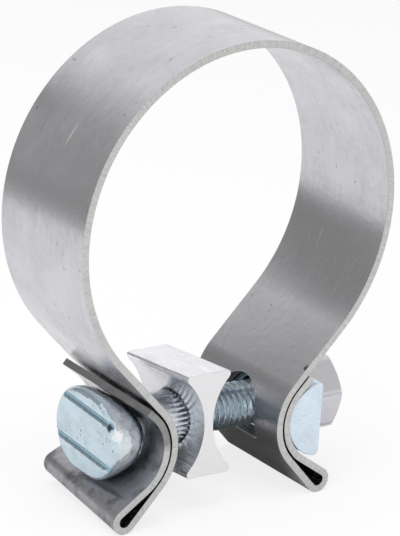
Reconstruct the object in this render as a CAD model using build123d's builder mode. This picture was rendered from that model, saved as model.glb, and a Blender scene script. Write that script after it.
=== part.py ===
from build123d import *
import os
from math import asin, atan2, cos, degrees, hypot, radians, sin, sqrt

# Single-bolt band clamp for a lap joint in a 2.75 inch exhaust pipe, open as it is supplied.
# X runs along the bolt from its head to its nut, Y along the pipe, and Z up through the ring.
# The origin is the ring's centre, half way along the band. All sizes are in millimetres.

# Pipe and band strip
PIPE_DIAMETER = 69.85
OPEN_GAP = 3.575
BAND_WIDTH = 31.5
STRIP_THICKNESS = 1.6
EDGE_BREAK = 0.2

# Folded ears
EAR_SPACING = 26.1
BOLT_BELOW_RING = 8.95
SADDLE_RADIUS = 9.6
LAYER_GAP = 0.4
HEM_RADIUS = 2.9
HEM_DROP = 14.65
HEM_REACH = 12.55
FLAP_STRAIGHT = 4.0
LEFT_FLAP_SPRING = 5.0
LEFT_FLAP_SKEW = 2.0
SLOT_PLAY = 2.0
SLOT_FOOT = 6.1
SLOT_CORNER = 1.0

# Bolt with a forged half-round head
THREAD_DIAMETER = 10.0
NECK_DIAMETER = 12.0
HEAD_PLAY = 0.15
HEAD_STRAIGHT = 4.4
HEAD_DEPTH = 10.2
HEAD_RIM = 1.3
GROOVE_SPACING = 9.8
GROOVE_RISE = 1.0
GROOVE_RADIUS = 0.9
GROOVE_DEPTH = 0.45
GROOVE_TILT = 4.0
KNURL_LENGTH = 5.2
KNURL_TEETH = 32
KNURL_DEPTH = 0.45
KNURL_CREST = 0.1
BOLT_END = 1.0
END_CHAMFER = 0.9

# Extruded spacer block
BLOCK_LENGTH = 23.6
BLOCK_HEIGHT = 23.0
BLOCK_WIDTH = 11.2
BLOCK_WEB = 2.3
BLOCK_LIP = 1.3
BLOCK_TIP = 0.55
BLOCK_PLACE = -2.45
BLOCK_RISE = 1.0
BLOCK_TURN = -5.0
PRESS_OVERLAP = 0.05
HOLE_CHAMFER = 0.55

# Half-round washer
WASHER_PLAY = 0.9
SEAT_GAP = 0.1
WASHER_INSET = 0.3
WASHER_DEPTH = 8.4
WASHER_HOLE_PLAY = 0.5
WASHER_CORNER = 1.1
WASHER_EDGE = 0.35

# Locking nut
NUT_FLATS = 16.0
NUT_HEX_HEIGHT = 10.6
NUT_CROWN_HEIGHT = 1.4
NUT_CROWN_RADIUS = 6.6
NUT_CROWN_TAPER = 20
NUT_CHAMFER = 1.2
NUT_TURN = 48.8
THREAD_CLEARANCE = 0.05

TINY = 0.001

ring_radius = PIPE_DIAMETER / 2 + OPEN_GAP
bolt_drop = ring_radius + BOLT_BELOW_RING
flap_face_x = EAR_SPACING / 2 + 2 * STRIP_THICKNESS + LAYER_GAP
saddle_x = flap_face_x + SADDLE_RADIUS
inner_bend = saddle_x - EAR_SPACING / 2
hem_x = EAR_SPACING / 2 + HEM_REACH
thread_radius = THREAD_DIAMETER / 2
neck_radius = NECK_DIAMETER / 2
slot_radius = neck_radius + SLOT_PLAY / 2

# Each bend of the strip is its centre across and up, and its radius, which is negative for a right turn
ring_bend = (0, 0, -ring_radius)
ear_bend = (saddle_x, -bolt_drop, inner_bend)
hem_bend = (hem_x, -bolt_drop - HEM_DROP, HEM_RADIUS)
flap_bend = (saddle_x, -bolt_drop, -SADDLE_RADIUS)


def straight_heading(first, second):
    """Heading, in degrees, of the straight that leaves one bend and enters the next."""
    across, up = second[0] - first[0], second[1] - first[1]
    return degrees(atan2(up, across) + asin((first[2] - second[2]) / hypot(across, up)))


def bend_point(bend, heading):
    """Point where the strip has this heading on a bend."""
    turn = radians(heading)
    return Vector(bend[0] + bend[2] * sin(turn), bend[1] - bend[2] * cos(turn))


ring_heading = straight_heading(ring_bend, ear_bend)


def draw_strip(flap_spring, flap_straight):
    """Draw half of the strip's inner face, from the top of the ring round one folded ear to the flap's end."""
    leaves = [
        ring_heading,
        straight_heading(ear_bend, hem_bend),
        straight_heading(hem_bend, flap_bend),
        ring_heading + 180 - flap_spring,
    ]
    heading = 0
    path = None
    for bend, leave in zip((ring_bend, ear_bend, hem_bend, flap_bend), leaves):
        start = bend_point(bend, heading)
        if path:
            Line(path @ 1, start)
        path = JernArc(start, (cos(radians(heading)), sin(radians(heading))), abs(bend[2]), leave - heading)
        heading = leave
    return PolarLine(path @ 1, flap_straight, heading)


# Band: one strip rolled into the ring, each end bent back into a saddle and folded over at a hem
with BuildPart() as band:
    for side, spring, skew in ((1, 0, 0), (-1, LEFT_FLAP_SPRING, LEFT_FLAP_SKEW)):
        half_plane = Plane((0, 0, 0), x_dir=(side, 0, 0), z_dir=(0, -side, 0))
        with BuildSketch(half_plane):
            with BuildLine():
                flap = draw_strip(spring, FLAP_STRAIGHT + skew)
                offset(amount=STRIP_THICKNESS, side=Side.LEFT, kind=Kind.TANGENT)
            make_face()
        extrude(amount=BAND_WIDTH / 2, both=True)
    # The left flap was cut off askew: its edge is longer at the far side of the band
    flap_end, flap_way = half_plane.from_local_coords(flap @ 1), half_plane.from_local_coords(flap % 1)
    flap_face = Plane(flap_end, x_dir=flap_way, z_dir=Vector(0, 1, 0).cross(flap_way))
    with BuildSketch(flap_face.offset(-LAYER_GAP / 2)):
        with BuildLine():
            Polyline((0, -BAND_WIDTH / 2), (0, BAND_WIDTH / 2), (-LEFT_FLAP_SKEW, BAND_WIDTH / 2), close=True)
        make_face()
    extrude(amount=STRIP_THICKNESS + LAYER_GAP, mode=Mode.SUBTRACT)
    with BuildSketch(Plane.YZ) as slot:
        with Locations((0, -bolt_drop)):
            Circle(slot_radius)
            Rectangle(2 * slot_radius, SLOT_FOOT, align=(Align.CENTER, Align.MAX))
        fillet(slot.vertices().group_by(Axis.Y)[0], SLOT_CORNER)
    extrude(amount=saddle_x, both=True, mode=Mode.SUBTRACT)
    sheared = band.faces().filter_by(Axis.Y).sort_by(SortBy.AREA)[-2:]
    fillet(sheared.edges(), EDGE_BREAK)
band.part.label = "band"

# The bolt's axis seen from its nut end, with local x along the pipe and local y up
bolt_axis = Plane((0, 0, -bolt_drop), x_dir=(0, 1, 0), z_dir=(1, 0, 0))

head_radius = SADDLE_RADIUS - HEAD_PLAY
head_x = -flap_face_x - head_radius
face_x = -flap_face_x - HEAD_DEPTH
washer_face_x = flap_face_x + SEAT_GAP + WASHER_DEPTH
nut_crown_x = washer_face_x + NUT_HEX_HEIGHT
nut_end_x = nut_crown_x + NUT_CROWN_HEIGHT
bolt_end_x = nut_end_x + BOLT_END
knurl_radius = neck_radius + KNURL_CREST
knurl_end_x = BLOCK_PLACE + BLOCK_WEB / 2
knurl_start_x = knurl_end_x - KNURL_LENGTH

# Bolt: a forged head like half a capsule, a plain neck, a straight knurl and the threaded end
with BuildPart() as bolt:
    with BuildSketch(bolt_axis.offset(head_x)):
        SlotCenterToCenter(HEAD_STRAIGHT, 2 * head_radius)
        Rectangle(
            HEAD_STRAIGHT + 2 * head_radius, head_radius, align=(Align.CENTER, Align.MIN), mode=Mode.INTERSECT
        )
    revolve(axis=Axis((head_x, 0, -bolt_drop), (0, 1, 0)))
    split(bisect_by=Plane((face_x, 0, 0), z_dir=(1, 0, 0)))
    fillet(bolt.faces().sort_by(Axis.X)[0].edges(), HEAD_RIM)
    groove_end = Plane((face_x, 0, GROOVE_RISE - bolt_drop), x_dir=(1, 0, 0), z_dir=(0, -1, 0))
    with BuildSketch(groove_end.rotated((GROOVE_TILT, 0, 0))):
        with Locations((GROOVE_DEPTH - GROOVE_RADIUS, 0)):
            with GridLocations(0, GROOVE_SPACING, 1, 2):
                Circle(GROOVE_RADIUS)
    extrude(amount=HEAD_STRAIGHT / 2 + head_radius, both=True, mode=Mode.SUBTRACT)
    with BuildSketch(bolt_axis.offset(head_x)):
        Circle(neck_radius)
    extrude(amount=knurl_start_x - head_x)
    with BuildSketch(bolt_axis.offset(knurl_start_x)):
        Circle(knurl_radius)
        with PolarLocations(knurl_radius, KNURL_TEETH):
            RegularPolygon(KNURL_DEPTH, 4, mode=Mode.SUBTRACT)
    extrude(amount=KNURL_LENGTH)
    with BuildSketch(bolt_axis.offset(knurl_end_x)):
        Circle(thread_radius)
    extrude(amount=bolt_end_x - knurl_end_x)
    chamfer(bolt.faces().sort_by(Axis.X)[-1].edges(), END_CHAMFER)
bolt.part.label = "bolt"

# Spacer block: an I-shaped extrusion pressed onto the knurl, with hollow sides that clear the ears
block_radius = knurl_radius - PRESS_OVERLAP
block_side_rise = BLOCK_HEIGHT / 2 - BLOCK_LIP
block_side_sag = (BLOCK_WIDTH - BLOCK_WEB) / 2
block_side_radius = (block_side_rise**2 + block_side_sag**2) / (2 * block_side_sag)
block_frame = Plane((BLOCK_PLACE, 0, -bolt_drop), x_dir=(1, 0, 0), z_dir=(0, -1, 0)).rotated((BLOCK_TURN, 0, 0))
with BuildPart() as spacer_block:
    with BuildSketch(block_frame) as block_section:
        with Locations((0, BLOCK_RISE)):
            Rectangle(BLOCK_WIDTH, BLOCK_HEIGHT)
            with GridLocations(BLOCK_WEB + 2 * block_side_radius, 0, 2, 1):
                Circle(block_side_radius, mode=Mode.SUBTRACT)
        fillet(block_section.vertices(), BLOCK_TIP)
    extrude(amount=BLOCK_LENGTH / 2, both=True)
    with BuildSketch(bolt_axis.offset(BLOCK_PLACE)):
        Circle(block_radius)
    extrude(amount=BLOCK_WIDTH, both=True, mode=Mode.SUBTRACT)
    hole = spacer_block.faces().filter_by(lambda face: face.radius and abs(face.radius - block_radius) < TINY)
    chamfer(hole.edges().filter_by(GeomType.LINE, reverse=True), HOLE_CHAMFER)
spacer_block.part.label = "spacer_block"

# Half-round washer: lies in the right-hand saddle and gives the nut a flat seat
washer_radius = SADDLE_RADIUS - WASHER_PLAY
washer_x = flap_face_x + SEAT_GAP + washer_radius
washer_length = BAND_WIDTH - 2 * WASHER_INSET
with BuildPart() as saddle_washer:
    with BuildSketch(Plane((washer_x, 0, -bolt_drop), x_dir=(1, 0, 0), z_dir=(0, -1, 0))) as washer_section:
        Circle(washer_radius)
        with Locations((WASHER_DEPTH - washer_radius, 0)):
            Rectangle(2 * washer_radius, 2 * washer_radius, align=(Align.MAX, Align.CENTER), mode=Mode.INTERSECT)
        fillet(washer_section.vertices(), WASHER_CORNER)
    extrude(amount=washer_length / 2, both=True)
    fillet(saddle_washer.faces().filter_by(Axis.Y).edges(), WASHER_EDGE)
    with BuildSketch(bolt_axis.offset(washer_x)):
        Circle(thread_radius + WASHER_HOLE_PLAY)
    extrude(amount=washer_radius, both=True, mode=Mode.SUBTRACT)
saddle_washer.part.label = "saddle_washer"

# Locking nut: a hexagon with turned corners and a coned crown
with BuildPart() as nut:
    with BuildSketch(bolt_axis.offset(washer_face_x)):
        RegularPolygon(NUT_FLATS / 2, 6, major_radius=False, rotation=NUT_TURN)
    extrude(amount=NUT_HEX_HEIGHT)
    nut_corner = NUT_FLATS / sqrt(3)
    with BuildSketch(Plane((0, 0, -bolt_drop), x_dir=(1, 0, 0), z_dir=(0, -1, 0))):
        with BuildLine():
            Polyline(
                (washer_face_x, 0),
                (washer_face_x, NUT_FLATS / 2),
                (washer_face_x + (nut_corner - NUT_FLATS / 2) / sqrt(3), nut_corner),
                (nut_crown_x - NUT_CHAMFER, nut_corner),
                (nut_crown_x, NUT_FLATS / 2),
                (nut_crown_x, 0),
                close=True,
            )
        make_face()
    revolve(axis=Axis((0, 0, -bolt_drop), (1, 0, 0)), mode=Mode.INTERSECT)
    with BuildSketch(bolt_axis.offset(nut_crown_x)):
        Circle(NUT_CROWN_RADIUS)
    extrude(amount=NUT_CROWN_HEIGHT, taper=NUT_CROWN_TAPER)
    with BuildSketch(bolt_axis.offset(washer_face_x)):
        Circle(thread_radius + THREAD_CLEARANCE)
    extrude(amount=nut_end_x - washer_face_x, mode=Mode.SUBTRACT)
nut.part.label = "nut"

os.makedirs("parts", exist_ok=True)
for piece in (band, bolt, spacer_block, saddle_washer, nut):
    export_step(piece.part, f"parts/{piece.part.label}.step")
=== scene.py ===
"""The looks of an exhaust band clamp, built round its packed CAD model."""
from math import acos, asin, atan2, ceil, cos, hypot, pi, radians, sin, sqrt, tan

import bmesh
import bpy
from mathutils import Matrix, Quaternion, Vector


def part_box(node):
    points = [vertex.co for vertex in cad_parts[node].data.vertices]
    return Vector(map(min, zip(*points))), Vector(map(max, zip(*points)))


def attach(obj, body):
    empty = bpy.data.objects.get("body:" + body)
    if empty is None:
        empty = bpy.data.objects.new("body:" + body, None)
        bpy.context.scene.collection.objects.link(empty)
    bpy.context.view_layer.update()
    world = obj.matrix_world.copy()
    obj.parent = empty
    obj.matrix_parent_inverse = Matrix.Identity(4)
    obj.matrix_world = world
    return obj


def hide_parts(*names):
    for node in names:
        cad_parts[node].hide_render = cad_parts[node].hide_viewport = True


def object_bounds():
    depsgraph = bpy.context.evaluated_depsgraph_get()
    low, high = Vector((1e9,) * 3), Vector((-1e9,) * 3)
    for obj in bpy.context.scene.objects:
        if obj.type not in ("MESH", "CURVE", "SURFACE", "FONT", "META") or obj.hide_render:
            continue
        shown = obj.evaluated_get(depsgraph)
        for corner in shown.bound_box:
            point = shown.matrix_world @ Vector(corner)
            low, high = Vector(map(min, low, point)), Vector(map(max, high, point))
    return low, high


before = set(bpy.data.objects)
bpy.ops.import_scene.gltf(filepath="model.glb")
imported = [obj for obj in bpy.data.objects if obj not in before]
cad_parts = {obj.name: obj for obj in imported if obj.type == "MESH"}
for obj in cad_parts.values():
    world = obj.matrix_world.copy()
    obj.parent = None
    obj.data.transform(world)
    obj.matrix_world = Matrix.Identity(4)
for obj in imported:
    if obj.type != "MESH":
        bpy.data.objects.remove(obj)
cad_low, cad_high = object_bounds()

bl_info = {
    "name": "Exhaust band clamp",
    "version": (1, 0, 0),
    "blender": (4, 5, 0),
    "location": "3D View > Sidebar > Band Clamp",
    "description": "Builds the looks of a single-bolt exhaust band clamp and the studio round it",
    "category": "Object",
}

band_low, band_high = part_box("band")
bolt_low, bolt_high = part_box("bolt")
washer_low, washer_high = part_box("saddle_washer")
nut_low, nut_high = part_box("nut")


def number(name, value, description, **settings):
    """A plain number."""
    return bpy.props.FloatProperty(name=name, description=description, default=value, **settings)


def length(name, value, description):
    """A size in metres, which the sidebar shows in the scene's own unit."""
    return number(name, value, description, min=0, precision=5, unit="LENGTH")


def share(name, value, description):
    """A strength from nothing to full."""
    return number(name, value, description, min=0, max=1, subtype="FACTOR")


def tilt(name, value, description):
    """An angle, given here in degrees."""
    return number(name, radians(value), description, subtype="ANGLE")


def vector(name, value, description, **settings):
    """Three numbers that belong together."""
    return bpy.props.FloatVectorProperty(
        name=name, description=description, default=value, size=3, **settings
    )


def colour(name, value, description):
    """A surface colour."""
    return vector(name, value, description, min=0, max=1, subtype="COLOR")


class BandSizes(bpy.types.PropertyGroup):
    """Sizes of the folded strip."""

    ring_radius: length("Ring radius", 0.0385, "Inside radius of the open ring")
    thickness: length("Strip thickness", 0.0016, "Thickness of the strip")
    edge_round: length("Edge rounding", 0.00018, "Rounding along the sheared edges")
    ear_spacing: length("Ear spacing", 0.0261, "Gap between the two ears at the bolt")
    layer_gap: length("Layer gap", 0.0004, "Gap between the two layers of an ear")
    saddle_radius: length("Saddle radius", 0.0096, "Inside radius of the half-round saddles")
    hem_radius: length("Hem radius", 0.0029, "Outside radius of the folded hem")
    hem_drop: length("Hem drop", 0.01465, "How far the hem lies below the bolt")
    hem_reach: length("Hem reach", 0.01255, "How far the hem lies out from the ear's inner face")
    flap_straight: length("Flap straight", 0.004, "Straight end of the folded flap")
    left_flap_short: length("Left flap short", 0.0017, "How much shorter the left flap is at its near side")
    left_flap_skew: length("Left flap skew", 0.0016, "How much longer the left flap is at its far side")
    left_ear_turn: length("Left ear turn", 0.0022, "How far in the far side of the left ear stands")
    left_hem_rise: length("Left hem rise", 0.0019, "How much higher the far end of the left hem lies")
    slot_radius: length("Slot radius", 0.007, "Radius of the bolt slot's arch")
    slot_foot: length("Slot foot", 0.0061, "How far the slot reaches below the bolt")
    slot_corner: length("Slot corner", 0.001, "Radius of the slot's lower corners")
    left_flap_spring: tilt("Left flap spring", 5, "Angle by which the left flap stands off the ring")


class BoltSizes(bpy.types.PropertyGroup):
    """Sizes of the bolt."""

    thread_radius: length("Thread radius", 0.005, "Outside radius of the thread")
    thread_pitch: length("Thread pitch", 0.0015, "Distance between two crests of the thread")
    neck_radius: length("Neck radius", 0.006, "Radius of the plain neck behind the head")
    head_radius: length("Head radius", 0.00945, "Radius of the head's half capsule")
    head_straight: length("Head straight", 0.0044, "Straight length between the head's two round ends")
    head_rim: length("Head rim", 0.0013, "Rounding of the flat face's rim")
    groove_spacing: length("Groove spacing", 0.0098, "Distance between the two grooves on the head")
    groove_rise: length("Groove rise", 0.001, "How far the grooves' middle lies above the bolt's axis")
    groove_half: length("Groove half width", 0.001, "Half the width of the two soft-edged grooves")
    groove_depth: length("Groove depth", 0.00045, "Depth of the two grooves")
    knurl_start: length("Knurl start", 0.0065, "Where the knurl starts, left of the ring's middle")
    knurl_end: length("Knurl end", 0.0013, "Where the knurl ends, left of the ring's middle")
    knurl_crest: length("Knurl crest", 0.0001, "How far the knurl's crests stand out from the neck")
    knurl_depth: length("Knurl depth", 0.00045, "Depth of the knurl's grooves")
    end_chamfer: length("End chamfer", 0.0009, "Chamfer on the threaded end")
    knurl_teeth: bpy.props.IntProperty(
        name="Knurl teeth", description="Number of grooves in the straight knurl", default=32, min=8
    )
    head_fullness: number("Head fullness", 3.6, "How square the head's underside is at its two ends", min=2)
    groove_tilt: tilt("Groove tilt", 4, "Slope of the two grooves along the head")


class BlockSizes(bpy.types.PropertyGroup):
    """Sizes of the extruded spacer block."""

    length: length("Block length", 0.0236, "Length of the extrusion along the pipe")
    height: length("Block height", 0.023, "Height of the I-shaped section")
    width: length("Block width", 0.0112, "Width across the block's lips")
    web: length("Web", 0.0023, "Thickness at the middle of the hollow sides")
    lip: length("Lip", 0.0013, "Height of the flat edge of each lip")
    tip: length("Tip rounding", 0.0008, "Rounding of the lips")
    place: length("Block place", 0.00245, "How far the block's middle lies left of the ring's middle")
    rise: length("Block rise", 0.001, "How far the block's middle lies above the bolt's axis")
    hole_radius: length("Hole radius", 0.0064, "Radius of the drilled hole")
    hole_chamfer: length("Hole chamfer", 0.00015, "Chamfer of the drilled hole")
    turn: tilt("Block turn", -5, "How far the block is turned round the bolt")


class WasherSizes(bpy.types.PropertyGroup):
    """Sizes of the half-round washer."""

    radius: length("Washer radius", 0.0087, "Radius of the half-round side")
    corner: length("Corner rounding", 0.0011, "Rounding where the flat side meets the round one")
    edge: length("End rounding", 0.00035, "Rounding of the cut ends")
    hole_radius: length("Hole radius", 0.0055, "Radius of the drilled hole")
    hole_chamfer: length("Hole chamfer", 0.0003, "Chamfer of the drilled hole")


class NutSizes(bpy.types.PropertyGroup):
    """Sizes of the locking nut."""

    flats: length("Across flats", 0.016, "Distance between two opposite flats")
    crown_height: length("Crown height", 0.0006, "Height of the coned locking crown")
    crown_radius: length("Crown radius", 0.0066, "Radius at the foot of the crown")
    crown_draw: length("Crown draw", 0.00051, "How much narrower the crown is at its top")
    chamfer: length("Chamfer", 0.0005, "Height of the turned corners at the crown's end")
    bore_radius: length("Bore radius", 0.00505, "Radius of the bore round the thread")
    turn: tilt("Nut turn", 48.8, "Angle of the nut's first corner round the bolt")


class ClampFinish(bpy.types.PropertyGroup):
    """Colours, wear and painted fold shade of the clamp's metals."""

    strip: colour("Strip", (0.62, 0.61, 0.645), "Rolled stainless strip")
    sheared: colour("Sheared edge", (0.62, 0.62, 0.61), "Cut edges of the strip")
    bolt_zinc: colour("Bolt zinc", (0.57, 0.69, 0.76), "Bright zinc plating with a pale blue cast")
    washer_zinc: colour("Washer zinc", (0.67, 0.77, 0.86), "Washer's zinc plating")
    aluminium: colour("Aluminium", (0.9, 0.9, 0.94), "Extruded aluminium")
    sawn: colour("Sawn aluminium", (0.81, 0.81, 0.82), "Sawn ends of the extrusion")
    nut_zinc: colour("Nut zinc", (0.66, 0.65, 0.69), "Smooth plating of the nut")
    wear: share("Wear", 0.5, "Strength of scratches and handling marks")
    # Strength of the painted shade on the inner face round the folds
    painted_fold_shade: share("Painted fold shade", 0.45, "How much darker the strip is round its folds")
    flap_edge_darkening: share("Flap edge darkening", 0.5, "How much darker the left flap's cut edge is")


class StudioSizes(bpy.types.PropertyGroup):
    """The camera, floor and lamps."""

    camera_place: vector(
        "Camera place", (-0.34242, -0.46783, 0.18204), "Where the camera stands",
        unit="LENGTH", subtype="TRANSLATION",
    )
    camera_view: vector(
        "Camera view", (0.56047, 0.76381, -0.32011), "Direction in which the camera looks",
        subtype="DIRECTION",
    )
    camera_roll: tilt("Camera roll", 3.97, "How far the camera leans")
    lens: number("Lens", 256.55, "Focal length of the camera", min=1, subtype="DISTANCE_CAMERA")
    fill: number("Fill light", 0.3, "Strength of the light from all round", min=0)


SIZES = {
    "clamp_band": BandSizes,
    "clamp_bolt": BoltSizes,
    "clamp_block": BlockSizes,
    "clamp_washer": WasherSizes,
    "clamp_nut": NutSizes,
    "clamp_finish": ClampFinish,
    "clamp_studio": StudioSizes,
}

bolt_z = (bolt_low.z + bolt_high.z) / 2


# Meshes

HALVINGS = 40


def add_object(name, data):
    """A new object in the scene."""
    made = bpy.data.objects.new(name, data)
    bpy.context.scene.collection.objects.link(made)
    return made


def finish_piece(name, shape, body, node, materials, sharp_angle=None):
    """Turns a bmesh into a named piece that stands for its CAD node and rides with its body."""
    mesh = bpy.data.meshes.new(name)
    bmesh.ops.recalc_face_normals(shape, faces=shape.faces)
    shape.to_mesh(mesh)
    shape.free()
    for material in materials:
        mesh.materials.append(material)
    mesh.shade_smooth()
    if sharp_angle:
        mesh.set_sharp_from_angle(angle=sharp_angle)
    piece = add_object(name, mesh)
    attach(piece, body)
    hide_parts(node)
    return piece


def soften_edges(piece, width, angle, segments=2):
    """Rounds the piece's sharp edges by a small width."""
    bevel = piece.modifiers.new("soft edges", "BEVEL")
    bevel.width = width
    bevel.segments = segments
    bevel.limit_method = "ANGLE"
    bevel.angle_limit = angle
    bevel.harden_normals = True


def add_face(shape, corners, material=0):
    """Adds a face, leaving out corners that have run together."""
    kept = list(dict.fromkeys(corners))
    if len(kept) > 2:
        shape.faces.new(kept).material_index = material


def join_rows(shape, first, second, closed=False, material=0):
    """Joins two rows of vertices by quads."""
    for k in range(len(first) if closed else len(first) - 1):
        n = (k + 1) % len(first)
        add_face(shape, (first[k], first[n], second[n], second[k]), material)


def join_chain(shape, rows, closed=False, material=0):
    """Joins each row of a chain to the next."""
    for first, second in zip(rows, rows[1:]):
        join_rows(shape, first, second, closed, material)


def close_ring(shape, place, ring):
    """Closes a ring of vertices by triangles round a middle."""
    middle = shape.verts.new(place)
    for k, vertex in enumerate(ring):
        add_face(shape, (middle, vertex, ring[(k + 1) % len(ring)]))


def round_point(x, radius, angle):
    """A point at a radius and an angle round the bolt's axis."""
    return x, radius * cos(angle), bolt_z + radius * sin(angle)


def between(start, end, count):
    """Evenly spaced values from start to end, both included."""
    return [start + (end - start) * k / count for k in range(count + 1)]


def steps_between(start, end, step):
    """Values from start to end, both included, no further apart than a step."""
    return between(start, end, max(1, ceil((end - start) / step)))


def halve(low, high, is_low):
    """Closes in on the value at which a test stops holding."""
    for _ in range(HALVINGS):
        middle = (low + high) / 2
        if is_low(middle):
            low = middle
        else:
            high = middle
    return (low + high) / 2


def smooth_share(value, start, end):
    """From 0 at start to 1 at end, with soft ends."""
    part = max(0.0, min(1.0, (value - start) / (end - start)))
    return part * part * (3 - 2 * part)


# The folded strip

FACE, EDGE = 0, 1
SIDE_COLUMNS = 7
FOOT_COLUMNS = 6
ROUND_STEPS = 3
ARCH_STEPS = 14
WALL_STEPS = 4
CORNER_STEPS = 4
FLAP_STEPS = 5
SLOT_MARGIN = 0.0006
ASKEW_TOP = 0.0115
ASKEW_HEIGHT = 0.016
ASKEW_STEP = 0.00001
RING_STEP = 0.001
FOLD_STEP = 0.00045
MERGE_DISTANCE = 5e-6


class StripHalf:
    """Half of the strip's inner face as a chain of arcs and straights, measured along the strip."""

    def __init__(self, sizes, side):
        self.side = side
        saddle_x = sizes.ear_spacing / 2 + 2 * sizes.thickness + sizes.layer_gap + sizes.saddle_radius
        self.bends = [
            (0.0, 0.0, -sizes.ring_radius),
            (saddle_x, bolt_z, saddle_x - sizes.ear_spacing / 2),
            (sizes.ear_spacing / 2 + sizes.hem_reach, bolt_z - sizes.hem_drop, sizes.hem_radius),
            (saddle_x, bolt_z, -sizes.saddle_radius),
        ]
        ring_leaves = self.straight_heading(0)
        spring = sizes.left_flap_spring if side < 0 else 0.0
        leaves = [ring_leaves, *map(self.straight_heading, (1, 2)), ring_leaves + pi - spring]
        self.parts = []
        self.bend_ends = []
        along = heading = 0.0
        past = None
        for bend, leave in zip(self.bends, leaves):
            start = self.on_bend(bend, heading)
            if past:
                run = (start - past).length
                self.parts.append((along, along + run, None, past, heading))
                along += run
            turn = (leave - heading) * bend[2]
            self.parts.append((along, along + turn, bend, start, heading))
            along += turn
            heading = leave
            past = self.on_bend(bend, heading)
            self.bend_ends.append(along)
        longest = sizes.flap_straight + sizes.left_flap_skew
        self.parts.append((along, along + longest, None, past, heading))

    def straight_heading(self, number):
        """Heading of the straight between one bend and the next."""
        first, second = self.bends[number], self.bends[number + 1]
        across, up = second[0] - first[0], second[1] - first[1]
        return atan2(up, across) + asin((first[2] - second[2]) / hypot(across, up))

    @staticmethod
    def on_bend(bend, heading):
        """Point of a bend where the strip has this heading."""
        return Vector((bend[0] + bend[2] * sin(heading), bend[1] - bend[2] * cos(heading)))

    def at(self, along, depth):
        """Place in the XZ plane at a length along the strip and a depth through it, and the way out of its
        back."""
        for start, end, bend, point, heading in self.parts:
            if along <= end:
                break
        if bend:
            heading += (along - start) / bend[2]
            point = self.on_bend(bend, heading)
        else:
            point = point + Vector((cos(heading), sin(heading))) * (along - start)
        out = Vector((-sin(heading), cos(heading)))
        place = point + out * depth
        return Vector((self.side * place.x, 0, place.y)), Vector((self.side * out.x, 0, out.y))

    def find_height(self, height, depth, low, high):
        """Length along the strip at which a face has this height, between two lengths that hold it."""
        falls = self.at(low, depth)[0].z > self.at(high, depth)[0].z
        return halve(low, high, lambda along: (self.at(along, depth)[0].z > height) == falls)


def slot_outline(sizes):
    """Half of the slot's outline, from its top to its foot: width, height, and the way out of the slot."""
    radius, corner = sizes.slot_radius, sizes.slot_corner
    foot = bolt_z - sizes.slot_foot
    points = [
        (radius * sin(a), bolt_z + radius * cos(a), sin(a), cos(a)) for a in between(0, pi / 2, ARCH_STEPS)
    ]
    points += [(radius, height, 1, 0) for height in between(bolt_z, foot + corner, WALL_STEPS)[1:]]
    for angle in between(0, pi / 2, CORNER_STEPS)[1:]:
        width = radius - corner + corner * cos(angle)
        points.append((width, foot + corner - corner * sin(angle), cos(angle), -sin(angle)))
    return points


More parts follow.
